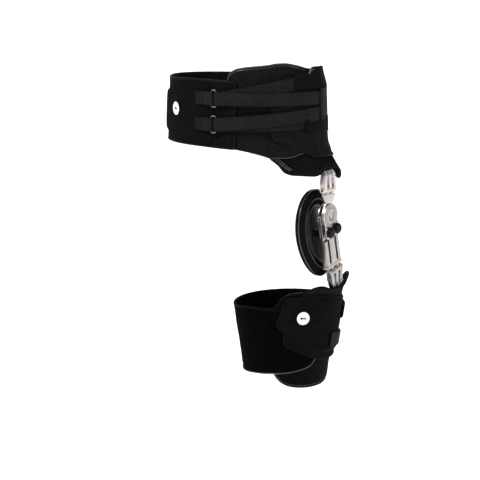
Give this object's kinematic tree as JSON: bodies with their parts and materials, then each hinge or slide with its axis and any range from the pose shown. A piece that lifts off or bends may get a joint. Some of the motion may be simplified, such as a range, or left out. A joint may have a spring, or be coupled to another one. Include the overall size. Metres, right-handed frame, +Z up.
{
  "type": "hip brace",
  "caption": "Right hip brace: a padded waist belt with strap rings, a jointed aluminium side hinge with an oval hip pad, and a wrap-around thigh cuff.",
  "frame": {"origin": "centre of the waist loop at the belt's mid-height, where the body holds the brace", "axes": "+X to the braced right side, +Y to the wearer's front, +Z up"},
  "size_m": [0.3422, 0.2326, 0.567],
  "materials": {
    "neoprene": "fine knitted face, matt black",
    "loop_fabric": "brushed loop face, matt black",
    "webbing": "woven webbing, charcoal black",
    "aluminium": "satin, lightly blasted",
    "ring_steel": "dull plated wire",
    "brass": "bright",
    "black_plastic": "satin moulded black",
    "glossy_plastic": "glossy moulded black",
    "white_plastic": "satin white"
  },
  "bodies": {
    "pelvic_belt": {"waist_belt": "neoprene", "belt_patch": "neoprene", "belt_disc": "white_plastic", "pull_tab_upper": "webbing", "pull_tab_lower": "webbing", "ring_upper": "ring_steel", "ring_lower": "ring_steel", "strap_upper": "webbing", "strap_lower": "webbing", "hip_panel": "loop_fabric", "hip_shell": "neoprene", "side_cover": "loop_fabric", "front_panel": "neoprene", "front_tab_lower": "neoprene", "upper_bracket": "aluminium", "upper_screw": "brass", "upper_pin": "aluminium"},
    "hinge_upper": {"upper_arm": "aluminium"},
    "hinge_lower": {"dial_plate": "aluminium", "back_plate": "aluminium", "pivot": "aluminium", "trochanter_pad": "neoprene", "pad_plate": "glossy_plastic", "pad_stud": "black_plastic"},
    "rear_knob": {"knob_rear": "black_plastic"},
    "front_knob": {"knob_front": "black_plastic"},
    "bar": {"thigh_bar": "aluminium"},
    "thigh_cuff": {"lower_bracket": "aluminium", "lower_screw": "brass", "lower_pin": "aluminium", "thigh_panel": "loop_fabric", "thigh_pocket": "neoprene", "thigh_wrap": "neoprene", "thigh_flap_lower": "neoprene", "thigh_flap_upper": "neoprene", "thigh_disc": "white_plastic", "thigh_loop_upper": "webbing", "thigh_loop_lower": "webbing"}
  },
  "joints": [
    {"name": "upper_tilt", "type": "hinge", "parent": "pelvic_belt", "child": "hinge_upper", "pos_m": [0.173, -0.0008, -0.126], "axis": [0, -1, 0], "range_deg": [-5, 15]},
    {"name": "hip_flexion", "type": "hinge", "parent": "hinge_upper", "child": "hinge_lower", "pos_m": [0.173, -0.0008, -0.1723], "axis": [1, 0, 0], "range_deg": [-13.5, 76.5]},
    {"name": "rear_knob_turn", "type": "hinge", "parent": "hinge_lower", "child": "rear_knob", "pos_m": [0.183, -0.00506, -0.19955], "axis": [1, 0, 0], "continuous": true},
    {"name": "front_knob_turn", "type": "hinge", "parent": "hinge_lower", "child": "front_knob", "pos_m": [0.183, 0.01536, -0.19464], "axis": [1, 0, 0], "continuous": true},
    {"name": "bar_slide", "type": "slide", "parent": "hinge_lower", "child": "bar", "axis": [0, 0.2334, -0.9724], "range_m": [0, 0.022]},
    {"name": "lower_tilt", "type": "hinge", "parent": "bar", "child": "thigh_cuff", "pos_m": [0.173, 0.02254, -0.26954], "axis": [0, -0.9724, -0.2334], "range_deg": [-10, 10]}
  ]
}
